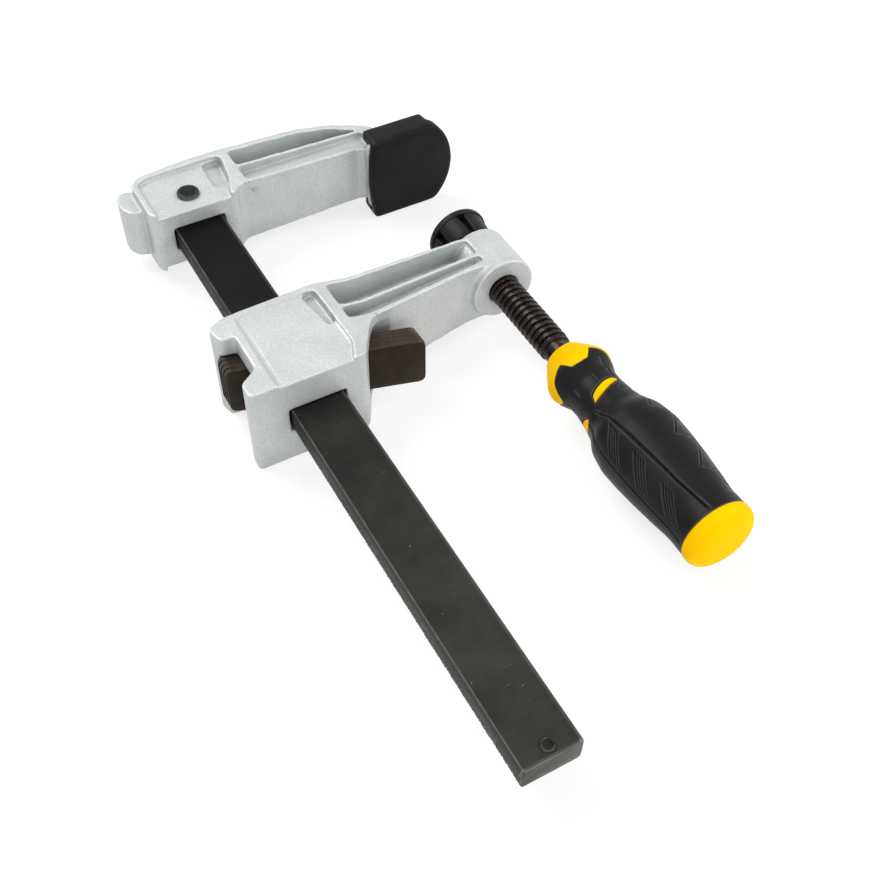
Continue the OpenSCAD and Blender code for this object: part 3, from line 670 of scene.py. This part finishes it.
def make_plates():
    """The four clutch plates, with their stamped edges rounded."""
    same_plane = math.radians(2)
    edge_angle = math.radians(50)
    rounding = 0.45 * MM
    for i in range(1, 5):
        node = f"clutch_plate_{i}"
        piece = copied(node)
        work = bmesh.new()
        work.from_mesh(piece.data)
        bmesh.ops.remove_doubles(work, verts=work.verts, dist=0.001 * MM)
        bmesh.ops.dissolve_limit(work, angle_limit=same_plane, verts=work.verts, edges=work.edges)
        joined = [e for e in work.edges if len(e.link_faces) == 2]
        crease = [e for e in joined if e.calc_face_angle() > edge_angle]
        bmesh.ops.bevel(work, geom=crease, offset=rounding, segments=3, affect="EDGES", profile=0.5)
        bmesh.ops.recalc_face_normals(work, faces=work.faces)
        work.to_mesh(piece.data)
        work.free()
        dressed(piece, "plate_steel", "clutch_pack", [node], 30)


def make_spring():
    """The clutch spring's round wire, on a mesh of its own; the real spring shortens as the plates are
    released.
    """
    low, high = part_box("clutch_spring")
    centre = (low + high) / 2
    outer = (high.x - low.x) / 2
    wire = 0.6 * MM
    turns = 5
    per_turn = 32
    sides = 12
    mean = outer - wire
    rise = (high.y - low.y - 2 * wire) / turns
    along = Vector((0, 1, 0))
    vertices = []
    for k in range(turns * per_turn + 1):
        angle = TURN * k / per_turn
        out = Vector((math.cos(angle), 0, math.sin(angle)))
        middle = Vector((centre.x, high.y - wire - rise * k / per_turn, centre.z)) + mean * out
        for j in range(sides):
            turn = TURN * j / sides
            vertices.append(middle + wire * (math.cos(turn) * out + math.sin(turn) * along))
    piece = new_piece(
        "clutch_spring_finish", vertices, ring_faces(turns * per_turn + 1, sides),
        "bright_steel", "sliding_jaw", ["clutch_spring"], 60,
    )
    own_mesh(piece)


def thread_cut(share):
    """Depth of the thread at a share of its pitch: 0 on the crest and 1 in the root."""
    flank = 0.16
    crest = 0.34
    if share < flank:
        cut = 1 - share / flank
    elif share < flank + crest:
        cut = 0.0
    elif share < 2 * flank + crest:
        cut = (share - flank - crest) / flank
    else:
        cut = 1.0
    return smooth_step(cut)


def make_spindle():
    """The screw with its helical thread, its ball and neck, and the plain end inside the handle."""
    low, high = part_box("spindle")
    crest = high.x
    depth = 1.6 * MM
    pitch = 4 * MM
    per_pitch = 16
    neck = 4.4 * MM
    ball = 6.5 * MM
    ball_steps = 12
    ball_mid = SLIDE_Y - high.y + ball
    thread_start = 22.5 * MM
    thread_end = HANDLE_START - 6 * MM
    shoulder = thread_start - 0.5 * MM
    plain = crest - 1.1 * MM
    tang = 6 * MM
    tang_start = HANDLE_START + 1 * MM
    end = SLIDE_Y - low.y
    sides = 64

    def thread_radius(angle, height):
        """Radius on the thread, which runs out into the plain part over its last turn."""
        cut = thread_cut(((height - thread_start) / pitch - angle / TURN) % 1.0)
        threaded = crest - depth * cut
        fade = min(1.0, max(0.0, (thread_end - height) / pitch))
        return threaded - (1 - fade) * max(0.0, threaded - plain)

    # rings from the ball's tip to the tang, as radius and height; those of the thread have no radius
    rings = []
    for k in range(ball_steps + 1):
        polar = math.pi * k / ball_steps
        radius = ball * math.sin(polar)
        if polar > math.pi / 2 and radius < neck:
            break
        rings.append((radius, ball_mid - ball * math.cos(polar)))
    rings.append((neck, ball_mid + math.sqrt(ball ** 2 - neck ** 2)))
    rings += [(neck, shoulder), (crest - depth, shoulder)]
    count = int(round((thread_end - thread_start) / pitch * per_pitch))
    rings += [(None, thread_start + k * pitch / per_pitch) for k in range(count + 1)]
    rings += [(plain, tang_start), (tang, tang_start), (tang, end)]

    vertices = []
    for radius, height in rings:
        for k in range(sides):
            angle = TURN * k / sides
            reach = thread_radius(angle, height) if radius is None else radius
            vertices.append(round_spindle(reach, angle, height))
    faces = ring_faces(len(rings), sides)
    new_piece("spindle_finish", vertices, faces, "screw_steel", "spindle", ["spindle"], 50)


def make_swivel_pad():
    """The swivel pad: a thin rimmed disc, and a hub of curved blocks with deep notches between them."""
    low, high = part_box("swivel_pad")
    rim = high.x
    depth = high.y - low.y
    rim_t = 3.8 * MM
    block_r = rim - 0.9 * MM
    notch_r = rim - 4.8 * MM
    bore = 12.0 * MM
    bore_floor = 3 * MM
    bore_edge = 0.4 * MM
    blocks = 6
    sides = 240
    notch_half = math.radians(6)
    notch_ease = math.radians(1.8)

    def hub(angle, share):
        """Radius of the hub; share goes from 0 at the rim to 1 at its back edge."""
        pitch = TURN / blocks
        away = abs((angle + pitch / 2) % pitch - pitch / 2)
        on_block = smooth_step((away - notch_half) / notch_ease)
        drop = 1.6 * MM * share + 0.9 * MM * share ** 8
        return notch_r + (block_r - notch_r) * on_block - drop

    disc = [
        (0.0, 0.0), (0.55 * rim, 0.0), (rim - 1.3 * MM, 0.0),
        (rim - 0.5 * MM, 0.12 * MM), (rim - 0.1 * MM, 0.6 * MM), (rim, 1.3 * MM),
        (rim, rim_t - 1.0 * MM), (rim - 0.15 * MM, rim_t - 0.4 * MM), (rim - 0.6 * MM, rim_t),
    ]
    hub_shares = (0.0, 0.03, 0.35, 0.7, 0.85, 0.93, 0.98, 1.0)
    recess = [
        (bore + bore_edge, depth), (bore, depth - bore_edge), (bore, bore_floor), (0.0, bore_floor),
    ]
    vertices = turned(disc, sides)
    for share in hub_shares:
        for k in range(sides):
            angle = TURN * k / sides
            height = rim_t + share * (depth - rim_t)
            vertices.append(round_spindle(hub(angle, share), angle, height))
    vertices += turned(recess, sides)
    faces = ring_faces(len(disc) + len(hub_shares) + len(recess), sides)
    new_piece("swivel_pad_finish", vertices, faces, "black_plastic", "swivel_pad", ["swivel_pad"], 40)


# Handle: radius as shares of the largest one, against shares of the handle's length
HANDLE_SHARES = [
    (0.0, 0.47), (0.03, 0.60), (0.07, 0.74), (0.105, 0.83), (0.12, 0.815), (0.157, 0.735),
    (0.195, 0.64), (0.24, 0.63), (0.305, 0.67), (0.38, 0.76), (0.43, 0.92), (0.51, 1.0),
    (0.6, 0.985), (0.7, 0.94), (0.8, 0.88), (0.88, 0.82), (0.965, 0.82), (1.0, 0.84),
]
# Angles are in degrees from the top towards +X, and each pattern comes twice round the handle
PERIOD = 180
# Yellow windows in the grip: angle, and shares of the length at their front and back edges
WINDOW_TOP = [
    (-44, 0.322, 0.322), (-37, 0.283, 0.318), (-22, 0.266, 0.309), (0, 0.252, 0.291),
    (16, 0.249, 0.278), (26, 0.252, 0.270), (33, 0.264, 0.265),
]
WINDOW_SIDE = [
    (-128, 0.338, 0.338), (-122, 0.309, 0.356), (-108, 0.300, 0.352), (-88, 0.311, 0.358),
    (-73, 0.338, 0.338),
]
# Edge of the collar: its tooth's angle, and the edge's shares of the length against angles from it
COLLAR_TOOTH = -15.5
COLLAR_EDGE = [
    (0, 0.141), (16, 0.138), (28, 0.099), (34, 0.103), (58, 0.124), (84, 0.168), (90, 0.170),
]
# The pattern on the grip starts at this angle and fades out between the other two
PATTERN_START = -115
PATTERN_FADE = (60, 65)
# Creases above and below the hatched panel: shares of the length, and the crease's angle there
UPPER_CREASE = [(0.33, -56), (0.42, -38), (0.53, -33), (0.8, -25), (0.95, -17)]
LOWER_CREASE = [(0.42, -79), (0.66, -83), (0.95, -90)]
# Both patterns of the grip repeat at this share of the length
PATTERN_STEP = 0.157
# Hatching: groups of lines, the first line's start, and each line's step and lean, as shares
HATCH_GROUPS = 3
HATCH_LINES = 4
HATCH_START = 0.45
HATCH_STEP = 0.0155
HATCH_LEAN = 0.103
HATCH_ANGLE = -40
HATCH_WIDTH = 35
# Stepped wave at the bare panel's right: where its steps start, and its angle along one step
WAVE_START = 0.318
WAVE_EDGE = [(0.0, 16), (0.16, 36), (0.4, 42), (1.0, 16)]
# Creases along the neck: the angle of one of them, and the angle between two
NECK_CREASE = -13
NECK_STEP = 45


def read_off(x, table):
    """Value at x in a table of pairs, straight between them and level beyond its ends."""
    xs, ys = zip(*table)
    return np.interp(x, xs, ys)


def handle_radius(share):
    """Radius of the handle's outer surface, smooth along its length."""
    reach = 0.016
    half_count = 4
    samples = [share + reach * k / half_count for k in range(-half_count, half_count + 1)]
    return HANDLE_R * sum(read_off(samples, HANDLE_SHARES)) / len(samples)


def on_handle(share, degrees, sunk):
    """Point on the handle at a share of its length and an angle, sunk below its surface."""
    radius = handle_radius(share) - sunk
    return round_spindle(radius, math.radians(degrees), HANDLE_START + share * HANDLE_LEN)


def folded(degrees, lowest):
    """The angle moved by whole periods so that it is at least the lowest one."""
    return (degrees - lowest) % PERIOD + lowest


def collar_edge(degrees):
    """Share of the length where the collar gives way to the grip: a tooth, flames and a valley."""
    away = abs(folded(degrees - COLLAR_TOOTH, -PERIOD / 2))
    return float(read_off(away, COLLAR_EDGE))


def window_share(degrees, window):
    """Shares of the length where a window starts and ends at an angle, or nothing beside it."""
    angles, fronts, backs = zip(*window)
    here = folded(degrees, angles[0])
    if here > angles[-1]:
        return None
    return float(np.interp(here, angles, fronts)), float(np.interp(here, angles, backs))


def panel_relief(here, share, per_degree):
    """The hatched panel, which lies a little lower than the bare one, and a crease on each side."""
    upper = read_off(share, UPPER_CREASE)
    lower = read_off(share, LOWER_CREASE)
    width = 0.85 * MM
    upper_depth = 0.85 * MM
    lower_depth = 0.75 * MM
    panel_depth = 0.35 * MM
    sunk = upper_depth * groove((here - upper) * per_degree, width)
    sunk += lower_depth * groove((here - lower) * per_degree, width)
    sunk += panel_depth * within(here, lower, upper, 2)
    return sunk * within(share, 0.37, 0.93, 0.03)


def hatch_relief(here, share):
    """Groups of slanted grooves on the hatched panel."""
    along = (HATCH_ANGLE - here) / HATCH_WIDTH
    if not 0 <= along <= 1:
        return 0.0
    depth = 0.8 * MM
    width = 0.45 * MM
    slant_cosine = 0.7
    sunk = 0.0
    for group in range(HATCH_GROUPS):
        for line in range(HATCH_LINES):
            start = HATCH_START + PATTERN_STEP * group + HATCH_STEP * line
            away = (share - start - HATCH_LEAN * along) * HANDLE_LEN * slant_cosine
            sunk += depth * groove(away, width)
    return sunk * within(along, 0.1, 0.9, 0.1)


def wave_relief(here, share, per_degree):
    """The stepped wave where the bare panel ends, with fine lines behind each step."""
    if not 0.3 < share < 0.93:
        return 0.0
    phase = ((share - WAVE_START) / PATTERN_STEP) % 1.0
    edge = read_off(phase, WAVE_EDGE)
    step_depth = 0.5 * MM
    crease_depth = 0.7 * MM
    crease_width = 0.6 * MM
    line_depth = 0.6 * MM
    line_pitch = 2.2 * MM
    line_lean = 0.2
    lines = 0.5 + 0.5 * math.sin(TURN * share * HANDLE_LEN / line_pitch + here * line_lean)
    lines *= within(phase, 0.1, 0.5, 0.08) * smooth_step(here, edge + 3, edge + 6)
    sunk = step_depth * smooth_step(here, edge - 2, edge + 2)
    sunk += crease_depth * groove((here - edge - 1) * per_degree, crease_width)
    sunk += line_depth * lines
    return sunk * within(share, 0.33, 0.89, 0.03)


def neck_relief(here, share, per_degree):
    """Short creases along the grip's neck."""
    depth = 0.5 * MM
    width = 0.8 * MM
    away = here - NECK_CREASE
    away -= NECK_STEP * round(away / NECK_STEP)
    return depth * within(share, 0.2, 0.24, 0.012) * groove(away * per_degree, width)


def grip_relief(degrees, share):
    """How far the grip's surface is sunk at a place, in metres."""
    here = folded(degrees, PATTERN_START)
    per_degree = math.radians(1) * HANDLE_R * 0.95
    sunk = panel_relief(here, share, per_degree)
    sunk += hatch_relief(here, share)
    sunk += wave_relief(here, share, per_degree)
    sunk *= 1 - smooth_step(here, *PATTERN_FADE)
    sunk += neck_relief(here, share, per_degree)
    seat_depth = 0.9 * MM
    seat_ease = 0.003
    for window in (WINDOW_TOP, WINDOW_SIDE):
        edges = window_share(degrees, window)
        if edges and edges[1] > edges[0]:
            sunk += seat_depth * within(share, edges[0], edges[1], seat_ease)
    return sunk


def make_grip():
    """The soft grip: one skin from the collar's stepped edge to the end cap."""
    sides = 360
    rings = 240
    skin = 1.4 * MM
    # the front edge is rounded over two rings, each at a share behind the edge and sunk a little
    front_rings = ((0.0, 0.45 * MM), (0.001, 0.1 * MM))
    lift = 0.003
    angles = [360 * k / sides for k in range(sides)]
    edges = [collar_edge(a) for a in angles]

    vertices = [on_handle(e, a, skin) for a, e in zip(angles, edges)]
    for behind, sunk in front_rings:
        vertices += [on_handle(e + behind, a, sunk) for a, e in zip(angles, edges)]
    for r in range(rings + 1):
        for a, e in zip(angles, edges):
            share = e + lift + (GRIP_END_SHARE - e - lift) * r / rings
            vertices.append(on_handle(share, a, grip_relief(a, share)))
    vertices += [on_handle(GRIP_END_SHARE, a, skin) for a in angles]
    faces = ring_faces(len(vertices) // sides, sides, capped=False)
    new_piece("grip_finish", vertices, faces, "soft_grip", "spindle", ["grip"], 55)


def make_core():
    """The yellow core: its collar shows in front of the grip, and the rest lies under it."""
    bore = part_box("spindle")[1].x + 0.05 * MM
    bore_edge = 0.4 * MM
    bore_floor = 2 * MM
    shown_share = 0.19
    shown_steps = 200
    hidden_steps = 25
    hidden_step = 0.03
    deep = 2.4 * MM
    thin = 0.25 * MM
    thin_from = 0.06
    deep_from = 0.165
    shares = [k / shown_steps for k in range(int(shown_share * shown_steps) + 1)]
    shares += [shown_share + hidden_step * k for k in range(1, hidden_steps + 1)]
    profile = [
        (0.0, HANDLE_START + bore_floor), (bore, HANDLE_START + bore_floor),
        (bore, HANDLE_START + bore_edge),
    ]
    for share in shares:
        under = thin * smooth_step(share, 0.0, thin_from)
        under += (deep - thin) * smooth_step(share, deep_from, shown_share)
        profile.append((handle_radius(share) - under, HANDLE_START + share * HANDLE_LEN))
    profile.append((0.0, HANDLE_START + shares[-1] * HANDLE_LEN))
    sides = 144
    faces = ring_faces(len(profile), sides)
    new_piece(
        "handle_core_finish", turned(profile, sides), faces,
        "yellow_plastic", "spindle", ["handle_core"], 50,
    )


def make_windows():
    """Crescents of the yellow core that show flush in the grip's neck."""
    across = 40
    along = 8
    skirt = 1.3 * MM
    flush = 0.05 * MM
    rim_ease = 0.35 * MM
    side_ease = 0.03
    for name, window in (("top", WINDOW_TOP), ("side", WINDOW_SIDE)):
        first, last = window[0][0], window[-1][0]
        for turn in range(360 // PERIOD):
            vertices = []
            for k in range(across + 1):
                degrees = first + (last - first) * k / across + turn * PERIOD
                front, back = window_share(degrees, window)
                side = min(k, across - k) / across
                for j in range(along + 1):
                    u = j / along
                    rim = min(u, 1 - u) * (back - front) * HANDLE_LEN
                    raised = smooth_step(rim, 0.0, rim_ease) * smooth_step(side, 0.0, side_ease)
                    sunk = flush + skirt * (1 - raised)
                    vertices.append(on_handle(front + (back - front) * u, degrees, sunk))
            faces = sheet_faces(across + 1, along + 1)
            window_name = f"core_window_{name}_{turn + 1}"
            new_piece(window_name, vertices, faces, "yellow_plastic", "spindle", (), 60)


def make_end_cap():
    """The yellow end cap, with a rounded rim and a broad dome."""
    rim = handle_radius(1.0)
    base = HANDLE_START + GRIP_END_SHARE * HANDLE_LEN
    edge = base + 1.6 * MM
    rise = HANDLE_END - edge
    across_power = 0.55
    rise_power = 0.8
    steps = 28
    sides = 128
    profile = [
        (0.0, base), (rim - 0.9 * MM, base), (rim - 0.3 * MM, base + 0.2 * MM),
        (rim, base + 0.8 * MM), (rim, edge),
    ]
    for k in range(1, steps):
        turn = math.pi / 2 * k / steps
        across = rim * math.cos(turn) ** across_power
        profile.append((across, edge + rise * math.sin(turn) ** rise_power))
    profile.append((0.0, HANDLE_END))
    faces = ring_faces(len(profile), sides)
    new_piece(
        "end_cap_finish", turned(profile, sides), faces,
        "yellow_plastic", "spindle", ["end_cap"], 60,
    )


def finish_inner_pieces():
    """The small pieces inside keep their CAD shape and take their materials."""
    slots = {
        "ball_seat": "seat_brass",
        "swivel_socket": "bright_steel",
        "socket_ring": "bright_steel",
        "handle_pin": "bright_steel",
    }
    for node, slot in slots.items():
        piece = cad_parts[node]
        piece.data.materials.clear()
        piece.data.materials.append(MATERIALS[slot])


# Floor and light

def white_rays(tree):
    """1 on rays from the camera, and on those seen in gloss or through glass."""
    path = tree.nodes.new("ShaderNodeLightPath")
    total = path.outputs["Is Camera Ray"]
    for name in ("Is Glossy Ray", "Is Transmission Ray"):
        either = tree.nodes.new("ShaderNodeMath")
        either.operation = "MAXIMUM"
        tree.links.new(total, either.inputs[0])
        tree.links.new(path.outputs[name], either.inputs[1])
        total = either.outputs[0]
    return total


def choose_by_ray(tree, lighting, seen, output):
    """Sends one shader to the rays that light the object, and the other to those that are seen."""
    choose = tree.nodes.new("ShaderNodeMixShader")
    tree.links.new(white_rays(tree), choose.inputs[0])
    tree.links.new(lighting.outputs[0], choose.inputs[1])
    tree.links.new(seen.outputs[0], choose.inputs[2])
    tree.links.new(choose.outputs[0], output.inputs["Surface"])


def lit(tree, kind, grey, strength=None):
    """A diffuse, glowing or background shader of one grey."""
    made = tree.nodes.new(kind)
    made.inputs["Color"].default_value = (grey, grey, grey, 1)
    if strength is not None:
        made.inputs["Strength"].default_value = strength
    return made


def make_floor():
    """A pale floor that the camera sees as white, apart from the object's shadow."""
    bpy.ops.mesh.primitive_plane_add(size=FLOOR_SIZE, location=(0, 0, FLOOR_Z - 0.1 * MM))
    floor = bpy.context.object
    floor.name = "floor"
    material = bpy.data.materials.new("floor_white")
    material.use_nodes = True
    tree = material.node_tree
    tree.nodes.clear()
    output = tree.nodes.new("ShaderNodeOutputMaterial")
    plain = lit(tree, "ShaderNodeBsdfDiffuse", FLOOR_GREY)
    shaded = lit(tree, "ShaderNodeBsdfDiffuse", SEEN_GREY)
    glow = lit(tree, "ShaderNodeEmission", 1.0, SEEN_GLOW)
    both = tree.nodes.new("ShaderNodeAddShader")
    tree.links.new(shaded.outputs[0], both.inputs[0])
    tree.links.new(glow.outputs[0], both.inputs[1])
    choose_by_ray(tree, plain, both, output)
    floor.data.materials.append(material)


def make_world():
    """Soft light from all around, before a backdrop that is seen as white."""
    world = bpy.data.worlds.new("studio")
    scene.world = world
    world.use_nodes = True
    tree = world.node_tree
    tree.nodes.clear()
    output = tree.nodes.new("ShaderNodeOutputWorld")
    fill = lit(tree, "ShaderNodeBackground", 1.0, FILL_STRENGTH)
    backdrop = lit(tree, "ShaderNodeBackground", 1.0, BACKDROP_STRENGTH)
    choose_by_ray(tree, fill, backdrop, output)


def make_lights():
    """Disc lamps that look at the middle of the object."""
    middle = (CAD_BOX[0] + CAD_BOX[1]) / 2
    for name, place, size, power in LAMPS:
        data = bpy.data.lights.new(name, "AREA")
        data.shape = "DISK"
        data.size = size
        data.energy = power
        lamp = bpy.data.objects.new(name, data)
        lamp.location = place
        lamp.rotation_euler = (middle - Vector(place)).to_track_quat("-Z", "Y").to_euler()
        scene.collection.objects.link(lamp)


make_camera()
make_world()
make_lights()
make_floor()
make_castings()
make_fixed_pad()
make_bar()
make_headed_pin("stop_pin", shank=2.4 * MM, rise=1.2 * MM)
make_headed_pin("jaw_rivet", shank=4.0 * MM, rise=2.4 * MM)
make_plates()
make_spring()
make_spindle()
make_swivel_pad()
make_grip()
make_core()
make_windows()
make_end_cap()
finish_inner_pieces()

scene.view_settings.view_transform = "Standard"
